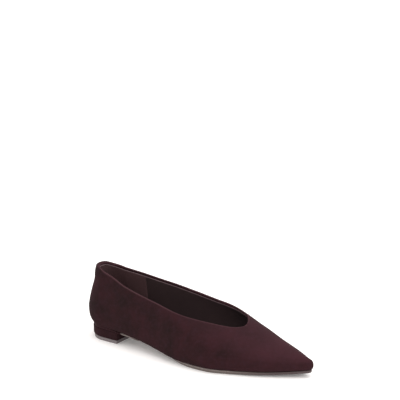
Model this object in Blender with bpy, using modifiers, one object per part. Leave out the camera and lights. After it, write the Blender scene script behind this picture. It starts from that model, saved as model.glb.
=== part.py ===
"""Pointed toe flat shoe, right foot, at its real size in metres.

The toe points along +X, the inner side of the foot is +Y, and the shoe stands on z = 0.
Sizes below are in millimetres, with x measured from the back of the heel.
"""

import math
from collections import namedtuple

import bmesh
import bpy
import numpy as np

MM = 0.001

# Driving sizes of the shoe
LENGTH = 262.0
BALL_WIDTH = 78.0
INSTEP_HEIGHT = 61.0
HEEL_RISE = 11.3
TOE_SPRING = 5.6
THROAT_AT = 187.0
THROAT_DEPTH = 61.0
THROAT_ROUND = 2.45
BACK_HEIGHT = 73.4

# Thicknesses of the pieces, and the gap that is left where two of them meet
WALL = 2.2
GAP = 0.3
SOCK_GAP = 0.4
FORE_SOLE = 3.1
SEAT_SOLE = 1.4
TOP_PIECE = 3.5

# Plan of the last's two ends at the feather line, where upper meets sole
HEEL_CENTRE = 28.0
HEEL_REACH = 24.1
TOE_CENTRE = 256.5
TUCK = 3.0
SOLE_INSET = 0.5
BREAST_AT = 44.0
BREAST_LEAN = 2.4
BREAST_HOLLOW = 1.2

# The back of the last: how far it swells past the feather line, and the arch of its section
BACK_SWELL = 6.0
BACK_SWELL_AT = 19.0
BACK_RIDGE = 100.0
BACK_ROUND = 1.25

# Sections of the last. "at" is a percentage of LENGTH. "outer", "inner" and "spine" are percentages
# of BALL_WIDTH: the feather line's two sides, and the line under the highest points, from the
# shoe's centre line. "ridge" is a percentage of INSTEP_HEIGHT. The swells, in mm, are how far each
# side bulges past the feather line, at the height swell_at, and "round" is the section's exponent.
Section = namedtuple("Section", "at outer inner spine ridge outer_swell inner_swell swell_at round")
SECTIONS = [
    Section(10.7, 29.2, 25.8, 2.6, 149.6, 3.0, 2.8, 13.9, 1.38),
    Section(22.9, 34.4, 28.6, 3.6, 141.0, 3.6, 4.6, 15.0, 1.65),
    Section(36.3, 40.4, 31.0, 3.6, 122.8, 3.8, 6.8, 14.6, 1.90),
    Section(49.6, 50.6, 38.4, 3.8, 101.0, 3.6, 5.8, 12.8, 2.15),
    Section(63.0, 54.5, 46.6, 4.7, 77.0, 2.9, 3.8, 10.6, 2.15),
    Section(72.5, 45.2, 44.8, 4.0, 59.6, 2.4, 2.7, 8.9, 2.02),
    Section(82.1, 33.1, 37.5, 4.8, 40.2, 1.9, 1.8, 7.2, 1.96),
    Section(90.8, 17.4, 24.3, 4.3, 28.5, 1.4, 1.4, 5.4, 1.90),
    Section(97.9, 2.3, 8.9, 3.3, 17.6, 0.9, 0.9, 4.4, 1.90),
]

# Side view of the sole. "lift" is a percentage of HEEL_RISE behind the ball and of TOE_SPRING in
# front of it, and "seat" says how far the sole has thinned from FORE_SOLE (0) to SEAT_SOLE (1).
SolePoint = namedtuple("SolePoint", "at lift seat")
BALL_AT = 63.0
SOLE_CURVE = [
    SolePoint(0.0, 99.0, 1.0),
    SolePoint(17.2, 91.5, 1.0),
    SolePoint(28.6, 68.0, 0.8),
    SolePoint(40.0, 27.0, 0.4),
    SolePoint(51.5, 1.0, 0.1),
    SolePoint(57.0, 0.0, 0.0),
    SolePoint(69.0, 0.0, 0.0),
    SolePoint(78.2, 15.0, 0.0),
    SolePoint(87.8, 39.0, 0.0),
    SolePoint(97.7, 78.5, 0.0),
    SolePoint(101.0, 100.0, 0.0),
]

# The topline's height above the floor on each side, in mm, from the back to where the throat's
# rounded end begins
TopPoint = namedtuple("TopPoint", "at outer inner")
TOPLINE = [
    TopPoint(3.6, BACK_HEIGHT, BACK_HEIGHT),
    TopPoint(5.5, 73.2, 71.2),
    TopPoint(8.0, 71.8, 69.6),
    TopPoint(10.7, 69.3, 68.1),
    TopPoint(17.0, 64.6, 65.3),
    TopPoint(25.0, 60.2, 61.5),
    TopPoint(36.3, 54.9, 57.0),
    TopPoint(48.1, 49.9, 51.4),
]

# Share of a half section that turns under, and its exponent, boxier than an ellipse
LOW_SHARE = 0.25
LOW_ROUND = 2.5

# How finely the surfaces are divided
LOW_ROWS = 5
HIGH_ROWS = 8
ACROSS = 4
HEEL_STEPS = 7
TOE_STEPS = 5
INSOLE_ROWS = 3

Station = namedtuple("Station", "x y across_x across_y reach at side flank")


def along(table, column, percent):
    """A smooth curve through one column of a table, which never overshoots its points."""
    places = np.array([row.at for row in table])
    values = np.array([getattr(row, column) for row in table])
    steps = np.diff(places)
    slopes = np.diff(values) / steps
    tangents = np.zeros(len(places))
    tangents[0] = slopes[0]
    tangents[-1] = slopes[-1]
    for i in range(1, len(places) - 1):
        if slopes[i - 1] * slopes[i] > 0.0:
            near = 2.0 * steps[i] + steps[i - 1]
            far = steps[i] + 2.0 * steps[i - 1]
            tangents[i] = (near + far) / (near / slopes[i - 1] + far / slopes[i])
    percent = np.clip(percent, places[0], places[-1])
    i = np.clip(np.searchsorted(places, percent) - 1, 0, len(steps) - 1)
    t = (percent - places[i]) / steps[i]
    start = (1.0 + 2.0 * t) * (1.0 - t) ** 2
    end = t * t * (3.0 - 2.0 * t)
    lean_start = t * (1.0 - t) ** 2 * steps[i]
    lean_end = t * t * (t - 1.0) * steps[i]
    return start * values[i] + end * values[i + 1] + lean_start * tangents[i] + lean_end * tangents[i + 1]


def section(column, x):
    return along(SECTIONS, column, 100.0 * x / LENGTH)


def half_width(side, x):
    return section("inner" if side > 0 else "outer", x) * BALL_WIDTH / 100.0


def spine(x):
    return section("spine", x) * BALL_WIDTH / 100.0


def sole_thickness(x):
    seat = along(SOLE_CURVE, "seat", 100.0 * x / LENGTH)
    return FORE_SOLE + (SEAT_SOLE - FORE_SOLE) * seat


def feather_height(x):
    """Height of the upper's lower edge: the arch behind the ball and the spring in front of it."""
    percent = 100.0 * np.asarray(x, float) / LENGTH
    full_lift = np.where(percent < BALL_AT, HEEL_RISE, TOE_SPRING)
    lift = along(SOLE_CURVE, "lift", percent) * full_lift / 100.0
    return FORE_SOLE + GAP + lift


def topline_height(side, x):
    return along(TOPLINE, "inner" if side > 0 else "outer", 100.0 * x / LENGTH)


def side_places():
    """Where the upright half sections stand along the last, closest together at the throat."""
    behind = np.linspace(BREAST_AT, THROAT_AT - THROAT_DEPTH, 10)
    throat = THROAT_AT - THROAT_DEPTH * np.linspace(1.0, 0.0, 13) ** 2
    front = np.linspace(THROAT_AT, TOE_CENTRE, 11)
    return np.concatenate([[HEEL_CENTRE, 36.0], behind, throat[1:], front[1:]])


def stations(side):
    """Half sections of one side, from the middle of the back to the tip of the toe.

    They fan around the heel's centre, stand square to the shoe along its side, and fan around the
    centre of the toe, where the plan is a circle that the two converging sides touch.
    """
    found = []
    heel_y = spine(HEEL_CENTRE)
    heel_side = half_width(side, HEEL_CENTRE) - side * heel_y
    for turn in np.linspace(0.0, math.pi / 2, HEEL_STEPS, endpoint=False):
        back = math.cos(turn)
        out = math.sin(turn)
        reach = 1.0 / math.hypot(back / HEEL_REACH, out / heel_side)
        found.append(Station(HEEL_CENTRE, heel_y, -back, side * out, reach, HEEL_CENTRE, side, out ** 2))
    for x in side_places():
        y = spine(x)
        found.append(Station(x, y, 0.0, side, half_width(side, x) - side * y, x, side, 1.0))
    toe_y = spine(TOE_CENTRE)
    before = SECTIONS[-2].at * LENGTH / 100.0
    toe_side = (half_width(-1, TOE_CENTRE) + half_width(1, TOE_CENTRE)) / 2
    wider = (half_width(-1, before) + half_width(1, before)) / 2
    converge = math.atan2(wider - toe_side, TOE_CENTRE - before)
    radius = toe_side * math.cos(converge)
    for turn in np.linspace(math.pi / 2, 0.0, TOE_STEPS + 1)[1:]:
        reach = radius
        if turn > math.pi / 2 - converge:
            reach = radius / math.sin(converge + turn)
        found.append(Station(TOE_CENTRE, toe_y, math.cos(turn), side * math.sin(turn), reach,
                             TOE_CENTRE, side, 1.0))
    return found


def tuck(station):
    """How far the upper turns in under the last at the feather line."""
    return min(TUCK, 0.45 * station.reach)


def skin(station, share):
    """Points of the last's surface on one half section, from the feather line (0) to the ridge (1)."""
    share = np.atleast_1d(np.asarray(share, float))
    swell = section("inner_swell" if station.side > 0 else "outer_swell", station.at)
    swell = station.flank * swell + (1.0 - station.flank) * BACK_SWELL
    ridge = section("ridge", station.at) * INSTEP_HEIGHT / 100.0
    ridge = station.flank * ridge + (1.0 - station.flank) * BACK_RIDGE
    power = station.flank * section("round", station.at) + (1.0 - station.flank) * BACK_ROUND
    swell_at = station.flank * section("swell_at", station.at) + (1.0 - station.flank) * BACK_SWELL_AT
    widest = station.reach + swell
    under = np.clip(share / LOW_SHARE, 0.0, 1.0) * math.pi / 2
    over = np.clip((share - LOW_SHARE) / (1.0 - LOW_SHARE), 0.0, 1.0) * math.pi / 2
    low_out = widest - (swell + tuck(station)) * (1.0 - np.sin(under) ** (2.0 / LOW_ROUND))
    low_up = swell_at * (1.0 - np.cos(under) ** (2.0 / LOW_ROUND))
    high_out = widest * np.clip(np.cos(over), 0.0, 1.0) ** (2.0 / power)
    high_up = swell_at + (ridge - swell_at) * np.sin(over) ** (2.0 / power)
    out = np.where(share < LOW_SHARE, low_out, high_out)
    up = np.where(share < LOW_SHARE, low_up, high_up)
    x = station.x + station.across_x * out
    y = station.y + station.across_y * out
    return np.stack([x, y, feather_height(x) + up], axis=1)


def share_above(station, is_below):
    """The share of a half section above which its points stop passing the test is_below."""
    low = LOW_SHARE
    high = 1.0
    for _ in range(40):
        middle = (low + high) / 2
        if is_below(skin(station, middle)[0]):
            low = middle
        else:
            high = middle
    return low


def topline_share(station):
    return share_above(station, lambda point: point[2] < topline_height(station.side, point[0]))


def throat_half_width(side):
    """How far the opening reaches from the spine where the throat's rounded end begins."""
    x = THROAT_AT - THROAT_DEPTH
    y = spine(x)
    begin = Station(x, y, 0.0, side, half_width(side, x) - side * y, x, side, 1.0)
    return abs(skin(begin, topline_share(begin))[0][1] - y)


def rim_share(station):
    """Share of a half section at which the topline cuts it, 1 in front of the throat.

    Over the throat's depth the opening closes along a blunted ellipse, seen from above.
    """
    behind = THROAT_AT - station.x
    if behind < 0.001:
        return 1.0
    if behind > THROAT_DEPTH - 0.001:
        return topline_share(station)
    curve = (1.0 - (1.0 - behind / THROAT_DEPTH) ** 2) ** (1.0 / THROAT_ROUND)
    opening = curve * throat_half_width(station.side)
    return share_above(station, lambda point: abs(point[1] - station.y) > opening)


def round_trip():
    """All stations in one ring: from the toe along the outer side, round the heel, and back."""
    outer = stations(-1)
    inner = stations(1)
    return outer[::-1] + inner[1:-1]


def upper_grid(ring):
    """Points of the upper's outer surface, one row of the array for each station of the ring."""
    rows = []
    for station in ring:
        low = LOW_SHARE * np.arange(LOW_ROWS) / LOW_ROWS
        high = np.linspace(LOW_SHARE, rim_share(station), HIGH_ROWS + 1)
        rows.append(skin(station, np.concatenate([low, high])))
    return np.array(rows)


def inward(grid):
    """Unit normals of a closed ring of rows, pointing into the shoe."""
    round_it = np.roll(grid, -1, axis=0) - np.roll(grid, 1, axis=0)
    upward = np.gradient(grid, axis=1)
    normals = np.cross(round_it, upward)
    return normals / np.linalg.norm(normals, axis=2, keepdims=True)


def edge_point(station, inset, z):
    """A point at the feather line's plan, moved inwards by inset."""
    out = station.reach - inset
    return np.array([station.x + station.across_x * out, station.y + station.across_y * out, z])


def crossing(start, end, height):
    """Points between two edge points, at a height that follows from x."""
    points = []
    for t in np.arange(1, ACROSS) / ACROSS:
        x, y = (start + t * (end - start))[:2]
        points.append(np.array([x, y, height(x)]))
    return points


def closed_ring(outer_edge, inner_edge, lower, upper):
    """One closed section: up the outer edge, over to the inner edge, down it, and back underneath."""
    ring = list(outer_edge)
    ring += crossing(outer_edge[-1], inner_edge[-1], upper)
    ring += list(inner_edge)[::-1]
    ring += crossing(inner_edge[0], outer_edge[0], lower)
    return ring


def new_object(name, build, material, collection, parent):
    mesh = bpy.data.meshes.new(name)
    bm = bmesh.new()
    build(bm)
    bmesh.ops.remove_doubles(bm, verts=bm.verts, dist=0.00001)
    bmesh.ops.dissolve_degenerate(bm, edges=bm.edges, dist=0.000001)
    bm.to_mesh(mesh)
    bm.free()
    mesh.shade_smooth()
    mesh.set_sharp_from_angle(angle=math.radians(40))
    mesh.materials.append(material)
    thing = bpy.data.objects.new(name, mesh)
    thing.parent = parent
    collection.objects.link(thing)
    return thing


def loft(rings, cap_last=False):
    """A closed body through closed sections. The first one has shrunk to an edge, and so has the
    last one unless it is capped."""
    def build(bm):
        rows = [[bm.verts.new(point * MM) for point in ring] for ring in rings]
        count = len(rings[0])
        for near, far in zip(rows, rows[1:]):
            for i in range(count):
                j = (i + 1) % count
                bm.faces.new((near[j], near[i], far[i], far[j]))
        if cap_last:
            bm.faces.new(rows[-1][::-1])
    return build


def suede_shell(grid):
    """The upper's outer surface, open at the collar and underneath."""
    def build(bm):
        rows = [[bm.verts.new(point * MM) for point in row] for row in grid]
        for i, near in enumerate(rows):
            far = rows[(i + 1) % len(rows)]
            for j in range(len(near) - 1):
                bm.faces.new((near[j], near[j + 1], far[j + 1], far[j]))
    return build


def outsole_rings(outer, inner):
    bevel = 0.5
    rings = []

    def top(x):
        return float(feather_height(x)) - GAP

    def bottom(x):
        return top(x) - float(sole_thickness(x))

    for pair in zip(outer, inner):
        edges = []
        for station in pair:
            x = edge_point(station, 0.0, 0.0)[0]
            edges.append([
                edge_point(station, SOLE_INSET + 1.6 * bevel, bottom(x)),
                edge_point(station, SOLE_INSET + 0.6 * bevel, bottom(x) + bevel),
                edge_point(station, SOLE_INSET, top(x) - 0.6 * bevel),
                edge_point(station, SOLE_INSET + 0.8 * bevel, top(x)),
            ])
        rings.append(closed_ring(edges[0], edges[1], bottom, top))
    return rings


def insole_rings(outer, inner, liner):
    """The insole fills the opening under the upper and lies against its inner wall."""
    dish = 0.8
    rings = []

    for pair in zip(outer, inner):
        edges = []
        for station in pair:
            wall = liner[station]
            foot = skin(station, 0.0)[0]
            step = np.array([station.across_x, station.across_y, 0.0]) * GAP
            edges.append([foot - step, wall[0] - step, *wall[1:]])
        level = (edges[0][-1][2] + edges[1][-1][2]) / 2
        width = abs(edges[0][-1][1] - edges[1][-1][1])
        sink = dish * min(1.0, width / 20.0)
        rings.append(closed_ring(edges[0], edges[1], feather_height, lambda x: level - sink))
    return rings


def heel_rings(outer, inner):
    def top(x):
        return float(feather_height(x)) - 2 * GAP - float(sole_thickness(x))

    def bottom(x):
        return TOP_PIECE + GAP

    rings = []
    for pair in heel_pairs(outer, inner):
        edges = []
        for station in pair:
            x = edge_point(station, 0.0, 0.0)[0]
            edges.append([
                edge_point(station, heel_inset(station), bottom(x)),
                edge_point(station, 0.7 * heel_inset(station), (top(x) + bottom(x)) / 2),
                edge_point(station, 0.5 * heel_inset(station), top(x)),
            ])
        rings.append(closed_ring(edges[0], edges[1], bottom, top))
    shape_breast(rings[-1], top)
    return rings


def top_piece_rings(outer, inner):
    bevel = 0.9
    rings = []
    for pair in heel_pairs(outer, inner):
        edges = []
        for station in pair:
            inset = heel_inset(station)
            edges.append([
                edge_point(station, inset + bevel, 0.0),
                edge_point(station, inset + 0.3 * bevel, 0.3 * bevel),
                edge_point(station, inset, bevel),
                edge_point(station, inset, TOP_PIECE),
            ])
        rings.append(closed_ring(edges[0], edges[1], lambda x: 0.0, lambda x: TOP_PIECE))
    shape_breast(rings[-1], lambda x: TOP_PIECE)
    return rings


def heel_pairs(outer, inner):
    return [pair for pair in zip(outer, inner) if pair[0].x <= BREAST_AT + 0.001]


def heel_inset(station):
    """The heel stands in from the feather line, most at its front corners."""
    forward = max(0.0, station.x - HEEL_CENTRE) / (BREAST_AT - HEEL_CENTRE)
    return 0.4 + 0.7 * station.flank + 0.7 * forward


def shape_breast(ring, top):
    """Curves the heel's front face back between its two corners, and leans it forward as it rises."""
    reach = max(abs(point[1]) for point in ring)
    for point in ring:
        point[0] -= BREAST_HOLLOW * (1.0 - (point[1] / reach) ** 2)
        point[0] += BREAST_LEAN * point[2] / HEEL_RISE
        point[2] = min(point[2], top(point[0]))


def finish(name, colour, roughness):
    material = bpy.data.materials.new(name)
    material.use_nodes = True
    shader = material.node_tree.nodes["Principled BSDF"]
    shader.inputs["Base Color"].default_value = (*colour, 1.0)
    shader.inputs["Roughness"].default_value = roughness
    shader.inputs["Metallic"].default_value = 0.0
    return material


def main():
    for old in list(bpy.data.objects):
        bpy.data.objects.remove(old)
    collection = bpy.data.collections.new("pointed toe flat shoe")
    bpy.context.scene.collection.children.link(collection)

    outer = stations(-1)
    inner = stations(1)
    ring = round_trip()
    grid = upper_grid(ring)

    # The origin is under the middle of the upper, which is the widest and longest piece
    centre = (grid.max(axis=(0, 1)) + grid.min(axis=(0, 1))) / 2
    stand = bpy.data.objects.new("shoe", None)
    stand.location = (-centre[0] * MM, -centre[1] * MM, 0.0)
    collection.objects.link(stand)

    suede = finish("wine suede", (0.055, 0.022, 0.028), 0.9)
    lining = finish("dark sock leather", (0.018, 0.016, 0.018), 0.5)
    resin = finish("grey outsole resin", (0.16, 0.12, 0.11), 0.6)
    rubber = finish("grey rubber", (0.13, 0.11, 0.11), 0.7)
    cover = finish("wine suede heel cover", (0.055, 0.022, 0.028), 0.9)

    upper = new_object("upper", suede_shell(grid), suede, collection, stand)
    wall = upper.modifiers.new("wall", "SOLIDIFY")
    wall.thickness = WALL * MM
    wall.offset = -1.0
    wall.use_even_offset = True

    # The upper's inner wall, moved in by the gap, is what the insole's edge follows
    low_grid = grid[:, :INSOLE_ROWS + 2]
    moved = low_grid + inward(low_grid) * (WALL + SOCK_GAP)
    liner = {station: row[:INSOLE_ROWS + 1] for station, row in zip(ring, moved)}
    liner[inner[0]] = liner[outer[0]]
    liner[inner[-1]] = liner[outer[-1]]

    new_object("insole", loft(insole_rings(outer, inner, liner)), lining, collection, stand)
    new_object("outsole", loft(outsole_rings(outer, inner)), resin, collection, stand)
    new_object("heel", loft(heel_rings(outer, inner), cap_last=True), cover, collection, stand)
    new_object("top_piece", loft(top_piece_rings(outer, inner), cap_last=True), rubber, collection, stand)


main()
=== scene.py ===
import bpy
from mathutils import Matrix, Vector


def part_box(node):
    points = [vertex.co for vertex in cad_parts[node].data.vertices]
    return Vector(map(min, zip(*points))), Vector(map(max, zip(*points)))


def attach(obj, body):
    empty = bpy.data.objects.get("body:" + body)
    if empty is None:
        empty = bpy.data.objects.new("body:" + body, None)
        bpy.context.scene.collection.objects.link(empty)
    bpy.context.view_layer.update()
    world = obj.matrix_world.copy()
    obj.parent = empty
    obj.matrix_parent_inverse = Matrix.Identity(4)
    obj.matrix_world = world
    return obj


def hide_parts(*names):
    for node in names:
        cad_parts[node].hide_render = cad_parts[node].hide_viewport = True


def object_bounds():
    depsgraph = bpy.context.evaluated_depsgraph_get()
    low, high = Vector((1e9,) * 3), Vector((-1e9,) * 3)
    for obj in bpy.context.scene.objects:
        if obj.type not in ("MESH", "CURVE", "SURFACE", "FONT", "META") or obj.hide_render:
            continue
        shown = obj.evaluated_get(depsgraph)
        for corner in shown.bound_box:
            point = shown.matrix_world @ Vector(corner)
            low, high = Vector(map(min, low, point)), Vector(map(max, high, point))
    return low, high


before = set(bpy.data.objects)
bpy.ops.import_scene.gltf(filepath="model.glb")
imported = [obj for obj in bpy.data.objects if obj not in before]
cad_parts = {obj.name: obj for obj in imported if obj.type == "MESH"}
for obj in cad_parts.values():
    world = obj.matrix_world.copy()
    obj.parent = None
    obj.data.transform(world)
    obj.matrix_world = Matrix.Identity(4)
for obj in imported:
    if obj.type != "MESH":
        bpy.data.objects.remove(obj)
cad_box = [list(corner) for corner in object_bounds()]

import math

import bmesh
import bpy
from mathutils import Vector
from mathutils.kdtree import KDTree


# The upper: a dark wine suede, pulled over a last and dried there, so that it is one smooth shell
# with no seam on its sides. Its lower edge is turned in and cemented between insole and outsole.

MM = 0.001
CENTRE_LINE = 2.6 * MM
SAME_PLACE = 0.01 * MM
FINER_LEVELS = 2
WALL_CORNER = math.radians(50)


def only(piece):
    """Makes one object the selected and active one."""
    bpy.ops.object.select_all(action="DESELECT")
    piece.select_set(True)
    bpy.context.view_layer.objects.active = piece


def merged_copy(node, name):
    """A copy of a CAD node's mesh, its loose triangles merged and paired into quads."""
    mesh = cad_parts[node].data.copy()
    mesh.materials.clear()
    piece = bpy.data.objects.new(name, mesh)
    bpy.context.scene.collection.objects.link(piece)
    only(piece)
    bpy.ops.mesh.customdata_custom_splitnormals_clear()
    bpy.ops.object.mode_set(mode="EDIT")
    bpy.ops.mesh.select_all(action="SELECT")
    bpy.ops.mesh.remove_doubles(threshold=SAME_PLACE)
    bpy.ops.mesh.tris_convert_to_quads(
        face_threshold=math.radians(40), shape_threshold=math.radians(60))
    bpy.ops.object.mode_set(mode="OBJECT")
    return piece


def patches(bm, limit):
    """Groups of faces that no edge sharper than limit parts, the largest first."""
    left = set(bm.faces)
    found = []
    while left:
        start = left.pop()
        group = [start]
        queue = [start]
        while queue:
            face = queue.pop()
            for edge in face.edges:
                if edge.calc_face_angle(math.pi) > limit:
                    continue
                for other in edge.link_faces:
                    if other in left:
                        left.remove(other)
                        group.append(other)
                        queue.append(other)
        found.append(group)
    return sorted(found, key=lambda group: -sum(face.calc_area() for face in group))


def subdivision(piece):
    """Adds a Subdivision Surface, and leaves it to be applied."""
    finer = piece.modifiers.new("finer", "SUBSURF")
    finer.levels = FINER_LEVELS
    finer.render_levels = FINER_LEVELS
    return finer


def smoothed(piece):
    """Subdivides a piece smooth. Its points are moved out first, so that they end where they were."""
    only(piece)
    finer = subdivision(piece)
    kept = [vert.co.copy() for vert in piece.data.vertices]
    for _ in range(2):
        shown = piece.evaluated_get(bpy.context.evaluated_depsgraph_get()).data
        pulled_in = [co - after.co for co, after in zip(kept, shown.vertices)]
        for vert, back in zip(piece.data.vertices, pulled_in):
            vert.co += back
        piece.data.update()
    bpy.ops.object.modifier_apply(modifier=finer.name)
    bpy.ops.object.shade_smooth()


def nearest_to(points):
    """A search tree over some points."""
    tree = KDTree(len(points))
    for i, point in enumerate(points):
        tree.insert(point, i)
    tree.balance()
    return tree


upper = merged_copy("upper", "suede_upper")

# In front of the throat the CAD's wall has pairs of rings 0.4 mm apart, which would show as a crease in
# the hide, so each point of one ring is joined to the nearest point of the other
TWIN_RINGS = (((56.1, 56.5), (56.55, 56.95)), ((57.0, 57.3), (57.4, 57.6)))
TWIN_SIDE = 14 * MM
for (low, high), (kept_low, kept_high) in TWIN_RINGS:
    ring = [vert.co for vert in upper.data.vertices if kept_low * MM < vert.co.x < kept_high * MM]
    kept = nearest_to(ring)
    for vert in upper.data.vertices:
        if low * MM < vert.co.x < high * MM and vert.co.y > TWIN_SIDE:
            vert.co = kept.find(vert.co)[0]
bpy.ops.object.mode_set(mode="EDIT")
bpy.ops.mesh.select_all(action="SELECT")
bpy.ops.mesh.remove_doubles(threshold=SAME_PLACE)
bpy.ops.object.mode_set(mode="OBJECT")

# The shell's four walls: outside, inside, the rim round the collar, and the lower edge
bm = bmesh.new()
bm.from_mesh(upper.data)
outside, inside, *edges = patches(bm, WALL_CORNER)
rim = max(edges[:2], key=lambda group: sum(face.calc_center_median().z for face in group) / len(group))

# The topline's two edges, in order round the collar: the wall's outer corner and the inner one
outer_verts = {vert for face in outside for vert in face.verts}
inner_verts = {vert for face in inside for vert in face.verts}
crossings = {}
for edge in {edge for face in rim for edge in face.edges}:
    near, far = edge.verts
    if near in outer_verts and far in inner_verts:
        crossings[near] = far
    elif far in outer_verts and near in inner_verts:
        crossings[far] = near
start = min(crossings, key=lambda vert: vert.co.x)
walk = [start]
while True:
    ahead = [edge.other_vert(walk[-1]) for edge in walk[-1].link_edges]
    ahead = [vert for vert in ahead if vert in crossings and vert not in walk]
    if not ahead:
        break
    walk.append(min(ahead, key=lambda vert: (vert.co - walk[-1].co).length))
collar = [(vert.co.copy(), crossings[vert].co.copy()) for vert in walk]
inside_faces = [face.index for face in inside]
wall_of = {face: i for i, wall in enumerate((outside, inside, *edges[:2])) for face in wall}
corner_edges = []
for edge in bm.edges:
    walls = {wall_of.get(face) for face in edge.link_faces}
    if len(walls) == 2 and None not in walls:
        corner_edges.append(edge.index)
bm.free()

# At each point of the topline: its outer and inner corner, the way out of the shoe, and the way down
frames = []
for i, (outer, inner) in enumerate(collar):
    before = collar[i - 1][0]
    after = collar[(i + 1) % len(collar)][0]
    out = (outer - inner).normalized()
    down = (after - before).cross(out).normalized()
    if down.z > 0:
        down = -down
    frames.append((outer, inner, out, down))


def ease(value, start, end):
    """Goes smoothly from 0 at start to 1 at end."""
    t = min(1.0, max(0.0, (value - start) / (end - start)))
    return t * t * (3.0 - 2.0 * t)


# The lining starts as a copy of the inner wall
only(upper)
bpy.ops.object.mode_set(mode="EDIT")
bpy.ops.mesh.select_mode(type="FACE")
bpy.ops.mesh.select_all(action="DESELECT")
bpy.ops.object.mode_set(mode="OBJECT")
for index in inside_faces:
    upper.data.polygons[index].select = True
bpy.ops.object.mode_set(mode="EDIT")
bpy.ops.mesh.duplicate()
bpy.ops.mesh.separate(type="SELECTED")
bpy.ops.object.mode_set(mode="OBJECT")
lining = next(piece for piece in bpy.context.selected_objects if piece != upper)
lining.name = "lining"

# The topline as it was trimmed: the throat's front inner corner is cut shallower, and the back corner
# on the outer side stands out and rises. Padding at the heel brings the inner wall further in, and the
# foot of the back wall is pulled in to the heel's seat. A pair gives where a change starts and ends.
THROAT = Vector((54.5 * MM, 14.5 * MM))
THROAT_REACH = (1 * MM, 18 * MM)
THROAT_TRIM = 4.5 * MM
VAMP_SLOPE = 0.35
HEEL_CENTRE = Vector((-100 * MM, 4.7 * MM))
BACK_CORNER = Vector((-0.82, -0.57))
BACK_FLARE = 2.7 * MM
FLARE_TURN = (0.1, 1.0)
FLARE_DEPTH = (2 * MM, 15 * MM)
PADDING = 1.6 * MM
PADDING_LENGTH = (0.0, 26 * MM)
PADDING_DEPTH = (0.0, 20 * MM)
BACK_RISE = 1.3 * MM
RISE_X = -98 * MM
RISE_LENGTH = (6 * MM, 24 * MM)
RISE_SIDE = (4 * MM, 12 * MM)
RISE_HEIGHT = (48 * MM, 68 * MM)
SEAT_PULL = 1.3 * MM
PULL_BACK = (105 * MM, 122 * MM)
PULL_HEIGHT = (13 * MM, 24 * MM)
back_x = min(outer.x for outer, inner, out, down in frames)
top_z = max(outer.z for outer, inner, out, down in frames)


def trimmed(point, is_inner):
    """Where a point of the wall lies in the finished shoe."""
    moved = point.copy()
    depth = top_z - point.z
    slid = 1.0 - ease((point.xy - THROAT).length, *THROAT_REACH)
    moved.x -= THROAT_TRIM * slid
    moved.z += THROAT_TRIM * VAMP_SLOPE * slid
    way = (point.xy - HEEL_CENTRE).normalized()
    flare = BACK_FLARE * ease(way.dot(BACK_CORNER), *FLARE_TURN) * (1.0 - ease(depth, *FLARE_DEPTH))
    if is_inner:
        padded = 1.0 - ease(point.x - back_x, *PADDING_LENGTH)
        flare -= PADDING * padded * (1.0 - ease(depth, *PADDING_DEPTH))
    moved.x += way.x * flare
    moved.y += way.y * flare
    rise = 1.0 - ease(abs(point.x - RISE_X), *RISE_LENGTH)
    rise *= ease(CENTRE_LINE - point.y, *RISE_SIDE)
    moved.z += BACK_RISE * rise * ease(point.z, *RISE_HEIGHT)
    moved.x += SEAT_PULL * ease(-point.x, *PULL_BACK) * (1.0 - ease(point.z, *PULL_HEIGHT))
    return moved


wall_inside = nearest_to([vert.co for vert in lining.data.vertices])
for vert in upper.data.vertices:
    _, _, away = wall_inside.find(vert.co)
    vert.co = trimmed(vert.co, away < SAME_PLACE)
for vert in lining.data.vertices:
    vert.co = trimmed(vert.co, True)
frames = [(trimmed(outer, False), trimmed(inner, True), out, down) for outer, inner, out, down in frames]

# Suede has no sharp corners: the topline and the lower edge are softened
CORNER = 0.55 * MM
only(upper)
bpy.ops.object.mode_set(mode="EDIT")
bpy.ops.mesh.select_mode(type="EDGE")
bpy.ops.mesh.select_all(action="DESELECT")
bpy.ops.object.mode_set(mode="OBJECT")
for index in corner_edges:
    upper.data.edges[index].select = True
bpy.ops.object.mode_set(mode="EDIT")
bpy.ops.mesh.bevel(offset=CORNER, segments=2, affect="EDGES")
bpy.ops.object.mode_set(mode="OBJECT")
smoothed(upper)

# A highlight is painted along the fold of the topline, where it catches the light: on the outer corner
# along the sides, and on the inner corner round the padded heel
FOLD_SEARCH = 6 * MM
FOLD_DEPTH = (0.375 * MM, 0.975 * MM)
FOLD_WIDTH = (0.35 * MM, 0.95 * MM)
HEEL_TURN = (0.0, 0.5)
fine = []
for i, one in enumerate(frames):
    two = frames[(i + 1) % len(frames)]
    for t in (0.0, 0.25, 0.5, 0.75):
        fine.append([here.lerp(there, t) for here, there in zip(one, two)])
outer_tree = nearest_to([outer for outer, inner, out, down in fine])
painted_fold_highlight = upper.data.attributes.new("painted_fold_highlight", "FLOAT", "POINT")
for i, vert in enumerate(upper.data.vertices):
    _, index, away = outer_tree.find(vert.co)
    if away > FOLD_SEARCH:
        continue
    outer, inner, out, down = fine[index]
    depth = (vert.co - outer).dot(down)
    inward = -(vert.co - outer).dot(out)
    off_crest = abs(inward - (outer - inner).length * ease(-out.x, *HEEL_TURN))
    painted_fold_highlight.data[i].value = (1.0 - ease(depth, *FOLD_DEPTH)) * (1.0 - ease(off_crest, *FOLD_WIDTH))


def colour(value):
    """A linear colour from an sRGB hex value."""
    channels = [int(value[i:i + 2], 16) / 255 for i in (1, 3, 5)]
    return [c / 12.92 if c < 0.04045 else ((c + 0.055) / 1.055) ** 2.4 for c in channels] + [1.0]


def add(material, kind, inputs=None, **settings):
    """Adds a node to a material, with its settings, and fills or links its inputs."""
    made = material.node_tree.nodes.new(kind)
    for name, value in settings.items():
        setattr(made, name, value)
    for name, value in (inputs or {}).items():
        if isinstance(value, bpy.types.NodeSocket):
            material.node_tree.links.new(value, made.inputs[name])
        else:
            made.inputs[name].default_value = value
    return made


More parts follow.
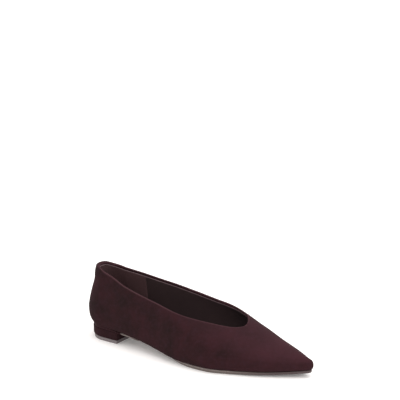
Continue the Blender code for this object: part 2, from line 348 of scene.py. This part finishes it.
def new_material(name):
    """A new material, its shader, and the place on the piece that its patterns are drawn by."""
    material = bpy.data.materials.new(name)
    material.use_nodes = True
    shader = material.node_tree.nodes["Principled BSDF"]
    place = add(material, "ShaderNodeTexCoord").outputs["Object"]
    return material, shader, place


# A Mix node's sockets for colours, by number, because those for other values have the same names
FACTOR = 0
TONE_A = 6
TONE_B = 7
MIXED = 2

NAP_PATCH = 28 * MM
NAP_CLUMP = 4 * MM
NAP_FIBRE = 0.9 * MM
VAMP_X = (30 * MM, 120 * MM)


def wine_suede(name):
    """Sueded calf: the split's short nap, dyed dark wine, lies this way and that in soft patches."""
    material, shader, place = new_material(name)
    link = material.node_tree.links.new
    # Broad patches of nap, brushed two ways
    swirl = add(material, "ShaderNodeTexNoise", {
        "Vector": place, "Scale": 1 / NAP_PATCH, "Detail": 4.0, "Roughness": 0.62, "Distortion": 0.4})
    swirl = add(material, "ShaderNodeMapRange", {
        "Value": swirl.outputs["Fac"], "From Min": 0.36, "From Max": 0.66})
    shade = add(material, "ShaderNodeMix", {
        FACTOR: swirl.outputs["Result"], TONE_A: colour("#1E1313"), TONE_B: colour("#2C171A"),
    }, data_type="RGBA")
    # Finer clumps of nap, lighter where the fibres stand up
    clumps = add(material, "ShaderNodeTexNoise", {
        "Vector": place, "Scale": 1 / NAP_CLUMP, "Detail": 3.0, "Roughness": 0.7})
    clumps = add(material, "ShaderNodeMapRange", {
        "Value": clumps.outputs["Fac"], "From Min": 0.45, "From Max": 0.75, "To Max": 0.35})
    shade = add(material, "ShaderNodeMix", {
        FACTOR: clumps.outputs["Result"], TONE_A: shade.outputs[MIXED], TONE_B: colour("#33212A"),
    }, data_type="RGBA")
    # Painted light: where the hide faces up it is painted redder and lighter, as if lit from above; over
    # the vamp and towards the toe it also grows redder
    normal = add(material, "ShaderNodeNewGeometry").outputs["Normal"]
    facing = add(material, "ShaderNodeSeparateXYZ", {"Vector": normal})
    painted_top_light = add(material, "ShaderNodeMapRange", {
        "Value": facing.outputs["Z"], "From Min": 0.35, "From Max": 0.8, "To Max": 0.26})
    spot = add(material, "ShaderNodeSeparateXYZ", {"Vector": place})
    forward = add(material, "ShaderNodeMapRange", {
        "Value": spot.outputs["X"], "From Min": VAMP_X[0], "From Max": VAMP_X[1], "To Max": 0.22})
    top_light_and_toe_red = add(material, "ShaderNodeMath", {
        0: painted_top_light.outputs["Result"], 1: forward.outputs["Result"]}, operation="ADD")
    shade = add(material, "ShaderNodeMix", {
        FACTOR: top_light_and_toe_red.outputs["Value"], TONE_A: shade.outputs[MIXED], TONE_B: colour("#44262D"),
    }, data_type="RGBA")
    # The painted highlight: a pale line along the topline's fold
    fold_highlight = add(material, "ShaderNodeAttribute", attribute_name="painted_fold_highlight")
    shade = add(material, "ShaderNodeMix", {
        FACTOR: fold_highlight.outputs["Fac"], TONE_A: shade.outputs[MIXED], TONE_B: colour("#442D31"),
    }, data_type="RGBA")
    link(shade.outputs[MIXED], shader.inputs["Base Color"])
    # Suede is matt, and the tips of its fibres catch a little light at a low angle
    shader.inputs["Roughness"].default_value = 0.95
    shader.inputs["Specular IOR Level"].default_value = 0.05
    shader.inputs["Sheen Weight"].default_value = 0.04
    shader.inputs["Sheen Roughness"].default_value = 0.6
    shader.inputs["Sheen Tint"].default_value = colour("#B08A90")
    # The nap's own fibres are too fine to show, so they are drawn 0.9 mm apart
    fibres = add(material, "ShaderNodeTexNoise", {
        "Vector": place, "Scale": 1 / NAP_FIBRE, "Detail": 2.0, "Roughness": 0.8})
    bump = add(material, "ShaderNodeBump", {
        "Height": fibres.outputs["Fac"], "Strength": 0.35, "Distance": 0.15 * MM})
    link(bump.outputs["Normal"], shader.inputs["Normal"])
    return material


upper.data.materials.append(wine_suede("wine_suede"))
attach(upper, "root")
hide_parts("upper")


# The lining: thin leather inside, in two parts, stuck down a little below the topline's fold. The part
# round the heel is a dark brown and stops at an upright seam, and the front part is darker.

SEAM_X = cad_box[0][0] + 52.5 * MM
SEAM_GAP = 0.2 * MM
LINING_DROP = 2.4 * MM
LINING_WALL = 0.5 * MM
LINING_CLOUD = 20 * MM
LINING_GRAIN = 1.1 * MM

inner_tree = nearest_to([inner for outer, inner, out, down in frames])
for vert in lining.data.vertices:
    _, index, away = inner_tree.find(vert.co)
    if away < 0.05 * MM:
        outer, inner, out, down = frames[index]
        vert.co += down * LINING_DROP


def lining_leather(name, tone, light):
    """Thin lining leather, dull from its finish. Its grain is too fine to show and is drawn coarser."""
    material, shader, place = new_material(name)
    link = material.node_tree.links.new
    cloud = add(material, "ShaderNodeTexNoise", {
        "Vector": place, "Scale": 1 / LINING_CLOUD, "Detail": 3.0})
    shade = add(material, "ShaderNodeMix", {
        FACTOR: cloud.outputs["Fac"], TONE_A: colour(tone), TONE_B: colour(light)}, data_type="RGBA")
    link(shade.outputs[MIXED], shader.inputs["Base Color"])
    shader.inputs["Roughness"].default_value = 0.62
    shader.inputs["Specular IOR Level"].default_value = 0.35
    grain = add(material, "ShaderNodeTexVoronoi", {"Vector": place, "Scale": 1 / LINING_GRAIN})
    bump = add(material, "ShaderNodeBump", {
        "Height": grain.outputs["Distance"], "Strength": 0.25, "Distance": 0.08 * MM})
    link(bump.outputs["Normal"], shader.inputs["Normal"])
    return material


def lining_part(name, side, material):
    """Keeps the lining on one side of its seam, and gives it a thickness."""
    part = bpy.data.objects.new(name, lining.data.copy())
    bpy.context.scene.collection.objects.link(part)
    only(part)
    bpy.ops.object.mode_set(mode="EDIT")
    bpy.ops.mesh.select_all(action="SELECT")
    cut = SEAM_X + side * SEAM_GAP / 2
    bpy.ops.mesh.bisect(plane_co=(cut, 0, 0), plane_no=(side, 0, 0), clear_inner=True)
    bpy.ops.object.mode_set(mode="OBJECT")
    smoothed(part)
    wall = part.modifiers.new("thickness", "SOLIDIFY")
    wall.thickness = LINING_WALL
    wall.offset = 1.0
    bpy.ops.object.modifier_apply(modifier=wall.name)
    bpy.ops.object.shade_smooth()
    part.data.materials.append(material)
    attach(part, "root")


lining_part("heel_lining", -1, lining_leather("brown_lining_leather", "#442F30", "#523A3B"))
lining_part("front_lining", 1, lining_leather("dark_lining_leather", "#2E2122", "#392929"))
bpy.data.objects.remove(lining)


# The lining's cut edge: it isn't dyed through, so it draws a paler line round the inside, just below
# the fold of the suede.

EDGE_RADIUS = 0.42 * MM
EDGE_SUNK = 0.15 * MM
EDGE_CLOUD = 3 * MM

curve = bpy.data.curves.new("lining_edge", "CURVE")
curve.dimensions = "3D"
curve.bevel_depth = EDGE_RADIUS
curve.bevel_resolution = 2
curve.resolution_u = 4
spline = curve.splines.new("NURBS")
spline.points.add(len(frames) - 1)
for point, (outer, inner, out, down) in zip(spline.points, frames):
    point.co = (*(inner + down * LINING_DROP - out * EDGE_SUNK), 1.0)
spline.use_cyclic_u = True
spline.order_u = 4
ring = bpy.data.objects.new("lining_edge", curve)
bpy.context.scene.collection.objects.link(ring)
only(ring)
bpy.ops.object.convert(target="MESH")
bpy.ops.object.shade_smooth()
cut_edge = bpy.context.view_layer.objects.active

# Leather cut across: pale, matt fibres with a little dye in them
material, shader, place = new_material("cut_leather_edge")
cloud = add(material, "ShaderNodeTexNoise", {"Vector": place, "Scale": 1 / EDGE_CLOUD, "Detail": 2.0})
shade = add(material, "ShaderNodeMix", {
    FACTOR: cloud.outputs["Fac"], TONE_A: colour("#5A4548"), TONE_B: colour("#6E585B")}, data_type="RGBA")
material.node_tree.links.new(shade.outputs[MIXED], shader.inputs["Base Color"])
shader.inputs["Roughness"].default_value = 0.8
cut_edge.data.materials.append(material)
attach(cut_edge, "root")


# The sock: a smooth, near black leather over a thin board, shaped to the foot and lying between the
# walls. It has a soft shine where it catches the light.

SLAB_CORNER = math.radians(35)
SOCK_CLOUD = 25 * MM
SOCK_GRAIN = 1.2 * MM


def creased(piece):
    """Subdivides a slab smooth in plan, but keeps its sharp edges."""
    only(piece)
    bpy.ops.object.mode_set(mode="EDIT")
    bpy.ops.mesh.select_mode(type="EDGE")
    bpy.ops.mesh.select_all(action="DESELECT")
    bpy.ops.mesh.edges_select_sharp(sharpness=SLAB_CORNER)
    bpy.ops.transform.edge_crease(value=0.9)
    bpy.ops.object.mode_set(mode="OBJECT")
    finer = subdivision(piece)
    bpy.ops.object.modifier_apply(modifier=finer.name)
    bpy.ops.object.shade_smooth_by_angle(angle=math.radians(40))


sock = merged_copy("insole", "sock")
creased(sock)

# Smooth finished leather: a soft highlight, broken by a grain that is too fine to show and is drawn
# coarser
material, shader, place = new_material("sock_leather")
cloud = add(material, "ShaderNodeTexNoise", {"Vector": place, "Scale": 1 / SOCK_CLOUD, "Detail": 3.0})
shade = add(material, "ShaderNodeMix", {
    FACTOR: cloud.outputs["Fac"], TONE_A: colour("#2A242C"), TONE_B: colour("#362E37")}, data_type="RGBA")
material.node_tree.links.new(shade.outputs[MIXED], shader.inputs["Base Color"])
shader.inputs["Roughness"].default_value = 0.42
grain = add(material, "ShaderNodeTexVoronoi", {"Vector": place, "Scale": 1 / SOCK_GRAIN})
bump = add(material, "ShaderNodeBump", {
    "Height": grain.outputs["Distance"], "Strength": 0.2, "Distance": 0.08 * MM})
material.node_tree.links.new(bump.outputs["Normal"], shader.inputs["Normal"])
sock.data.materials.append(material)
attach(sock, "root")
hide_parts("insole")


# The outsole: one thin moulded unit of hard rubber, cemented on and trimmed. Its edge is rounded under
# at the waist and stained like the suede round the seat, and a highlight is painted pale along its top
# corner where it faces up.

WAIST_START = (-74 * MM, -48 * MM)
WAIST_END = (-24 * MM, 16 * MM)
ROUNDED_UNDER = 6.0 * MM
ROUNDED_FROM = (2 * MM, 12 * MM)
TUCKED_IN = 1.8 * MM
TUCK_START = (-62 * MM, -50 * MM)
THINNED = 0.4 * MM
TOE_THINNED = 0.3 * MM
TOE_START = (45 * MM, 105 * MM)
SEAT_END = -78 * MM
SEAT_FADE = (-100 * MM, -80 * MM)
SEAT_RIM = 1.5 * MM
SEAT_OUT = 0.8 * MM
SOLE_GRAIN = 1.5 * MM

sole = merged_copy("outsole", "outsole")
for vert in sole.data.vertices:
    at_waist = ease(vert.co.x, *WAIST_START) * (1.0 - ease(vert.co.x, *WAIST_END))
    inward = -1.0 if vert.co.y > CENTRE_LINE else 1.0
    if vert.normal.z < -0.2:
        from_middle = ease(abs(vert.co.y - CENTRE_LINE), *ROUNDED_FROM)
        vert.co.y += inward * from_middle * at_waist * ROUNDED_UNDER
        vert.co.z += at_waist * THINNED + TOE_THINNED * ease(vert.co.x, *TOE_START)
    else:
        vert.co.y += inward * ease(vert.co.x, *TUCK_START) * at_waist * TUCKED_IN
normals = [vert.normal.copy() for vert in sole.data.vertices]
for vert, normal in zip(sole.data.vertices, normals):
    at_seat = 1.0 - ease(vert.co.x, *SEAT_FADE)
    outward = Vector((normal.x, normal.y, 0.0))
    if outward.length > 0.3:
        vert.co += outward.normalized() * SEAT_OUT * at_seat
        if normal.z > 0.1:
            vert.co.z += SEAT_RIM * at_seat
creased(sole)

# Hard rubber from a mould: an even grey brown with a dull shine. Its grain is too fine to show and is
# drawn coarser.
material, shader, place = new_material("moulded_sole_rubber")
link = material.node_tree.links.new
grain = add(material, "ShaderNodeTexNoise", {"Vector": place, "Scale": 1 / SOLE_GRAIN, "Detail": 2.0})
shade = add(material, "ShaderNodeMix", {
    FACTOR: grain.outputs["Fac"], TONE_A: colour("#564C48"), TONE_B: colour("#675C57")}, data_type="RGBA")
# Painted highlight: the top corner, where it faces up, is painted paler, up to the start of the toe
normal = add(material, "ShaderNodeNewGeometry").outputs["Normal"]
facing = add(material, "ShaderNodeSeparateXYZ", {"Vector": normal})
corner = add(material, "ShaderNodeMapRange", {
    "Value": facing.outputs["Z"], "From Min": 0.2, "From Max": 0.5})
spot = add(material, "ShaderNodeSeparateXYZ", {"Vector": place})
corner_highlight_fade = add(material, "ShaderNodeMapRange", {
    "Value": spot.outputs["X"], "From Min": 90 * MM, "From Max": 50 * MM})
corner = add(material, "ShaderNodeMath", {
    0: corner.outputs["Result"], 1: corner_highlight_fade.outputs["Result"]}, operation="MULTIPLY")
# The painted highlight's pale colour, mixed in by the corner mask
shade = add(material, "ShaderNodeMix", {
    FACTOR: corner.outputs["Value"], TONE_A: shade.outputs[MIXED], TONE_B: colour("#A89A95"),
}, data_type="RGBA")
# The edge is darker at the toe
toe = add(material, "ShaderNodeMapRange", {
    "Value": spot.outputs["X"], "From Min": 55 * MM, "From Max": 100 * MM, "To Max": 0.85})
shade = add(material, "ShaderNodeMix", {
    FACTOR: toe.outputs["Result"], TONE_A: shade.outputs[MIXED], TONE_B: colour("#3B2A2C"),
}, data_type="RGBA")
# The stain round the seat, which is matt
seat = add(material, "ShaderNodeMapRange", {
    "Value": spot.outputs["X"], "From Min": SEAT_END + MM, "From Max": SEAT_END - MM})
shade = add(material, "ShaderNodeMix", {
    FACTOR: seat.outputs["Result"], TONE_A: shade.outputs[MIXED], TONE_B: colour("#2C191C"),
}, data_type="RGBA")
link(shade.outputs[MIXED], shader.inputs["Base Color"])
dull = add(material, "ShaderNodeMapRange", {
    "Value": seat.outputs["Result"], "To Min": 0.5, "To Max": 0.03})
link(dull.outputs["Result"], shader.inputs["Specular IOR Level"])
shader.inputs["Roughness"].default_value = 0.6
bump = add(material, "ShaderNodeBump", {
    "Height": grain.outputs["Fac"], "Strength": 0.2, "Distance": 0.1 * MM})
link(bump.outputs["Normal"], shader.inputs["Normal"])
sole.data.materials.append(material)
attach(sole, "root")
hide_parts("outsole")


# The heel: a low block of moulded plastic, covered in the upper's suede, which is wrapped round it
# and stuck down.

HEEL_BACK = 1.2 * MM
HEEL_BACK_START = (108 * MM, 124 * MM)
HEEL_CORNER = 0.6 * MM

heel = merged_copy("heel", "covered_heel")
for vert in heel.data.vertices:
    vert.co.x -= HEEL_BACK * ease(-vert.co.x, *HEEL_BACK_START)
only(heel)
soft = heel.modifiers.new("soft_corners", "BEVEL")
soft.width = HEEL_CORNER
soft.segments = 3
soft.limit_method = "ANGLE"
soft.angle_limit = math.radians(40)
bpy.ops.object.modifier_apply(modifier=soft.name)
bpy.ops.object.shade_smooth_by_angle(angle=math.radians(50))
heel.data.materials.append(wine_suede("wine_suede_cover"))
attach(heel, "root")
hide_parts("heel")


# The top piece: a slab of grey rubber nailed and cemented under the heel, its lower edge rounded.

PEBBLE = 1 * MM

top_piece = merged_copy("top_piece", "rubber_top_piece")
only(top_piece)
bpy.ops.object.shade_smooth_by_angle(angle=math.radians(35))

# Grey rubber, moulded with a fine pebble that scatters the light, so that it looks matt. The pebble is
# too fine to show and is drawn coarser.
material, shader, place = new_material("grey_heel_rubber")
shader.inputs["Base Color"].default_value = colour("#6E6566")
shader.inputs["Roughness"].default_value = 0.7
grain = add(material, "ShaderNodeTexNoise", {"Vector": place, "Scale": 1 / PEBBLE, "Detail": 2.0})
bump = add(material, "ShaderNodeBump", {
    "Height": grain.outputs["Fac"], "Strength": 0.25, "Distance": 0.1 * MM})
material.node_tree.links.new(bump.outputs["Normal"], shader.inputs["Normal"])
top_piece.data.materials.append(material)
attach(top_piece, "root")
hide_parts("top_piece")


# The floor: plain white paper laid flat, lit softly from all round, from one large box overhead and
# from a smaller one in front.

FLOOR_SIZE = 16.0
FLOOR_GLOW = 0.12
WORLD_LIGHT = 1.15

bpy.ops.mesh.primitive_plane_add(size=FLOOR_SIZE)
floor = bpy.context.view_layer.objects.active
floor.name = "floor"

# Matt paper, with a faint glow of its own that keeps it near white
material, shader, place = new_material("white_paper")
shader.inputs["Base Color"].default_value = (0.95, 0.92, 0.90, 1.0)
shader.inputs["Roughness"].default_value = 1.0
shader.inputs["Specular IOR Level"].default_value = 0.0
shader.inputs["Emission Color"].default_value = (1.0, 0.98, 0.97, 1.0)
shader.inputs["Emission Strength"].default_value = FLOOR_GLOW
floor.data.materials.append(material)

world = bpy.data.worlds.new("studio")
bpy.context.scene.world = world
world.use_nodes = True
background = world.node_tree.nodes["Background"]
background.inputs["Color"].default_value = (1.0, 1.0, 1.0, 1.0)
background.inputs["Strength"].default_value = WORLD_LIGHT
bpy.context.scene.view_settings.view_transform = "Standard"


def soft_box(name, place, size, power):
    """A square area light aimed at the shoe."""
    light = bpy.data.lights.new(name, "AREA")
    light.size = size
    light.energy = power
    lamp = bpy.data.objects.new(name, light)
    lamp.location = place
    lamp.rotation_euler = (-Vector(place)).to_track_quat("-Z", "Y").to_euler()
    bpy.context.scene.collection.objects.link(lamp)


soft_box("overhead_box", (0.2, 0.3, 2.0), size=2.6, power=24.0)
soft_box("front_box", (1.2, -1.3, 1.0), size=1.0, power=5.0)

# The camera stands at the toe's side and looks a little down on the outer side of the shoe. It is
# placed round a point on the centre line, measured from the back of the upper, and turned so that the
# shoe lies in the picture where the photograph has it.
PICTURE_WIDTH = 400.0
FOCAL_PIXELS = 2775.0
SENSOR_WIDTH = 36.0
AZIMUTH = math.radians(35.0)
ELEVATION = math.radians(18.1)
DISTANCE = 2.742
POINT_AHEAD = 132.1 * MM
POINT_HEIGHT = 25 * MM
TURN = math.radians(34.99566)
TILT = math.radians(-15.41989)
sight = bpy.data.cameras.new("camera")
sight.sensor_width = SENSOR_WIDTH
sight.lens = FOCAL_PIXELS * SENSOR_WIDTH / PICTURE_WIDTH
sight.clip_end = 100.0
camera = bpy.data.objects.new("camera", sight)
middle = Vector((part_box("upper")[0].x + POINT_AHEAD, CENTRE_LINE, POINT_HEIGHT))
level = math.cos(ELEVATION)
back = Vector((math.sin(AZIMUTH) * level, -math.cos(AZIMUTH) * level, math.sin(ELEVATION)))
camera.location = middle + back * DISTANCE
camera.rotation_euler = (math.pi / 2 + TILT, 0.0, TURN)
bpy.context.scene.collection.objects.link(camera)
bpy.context.scene.camera = camera
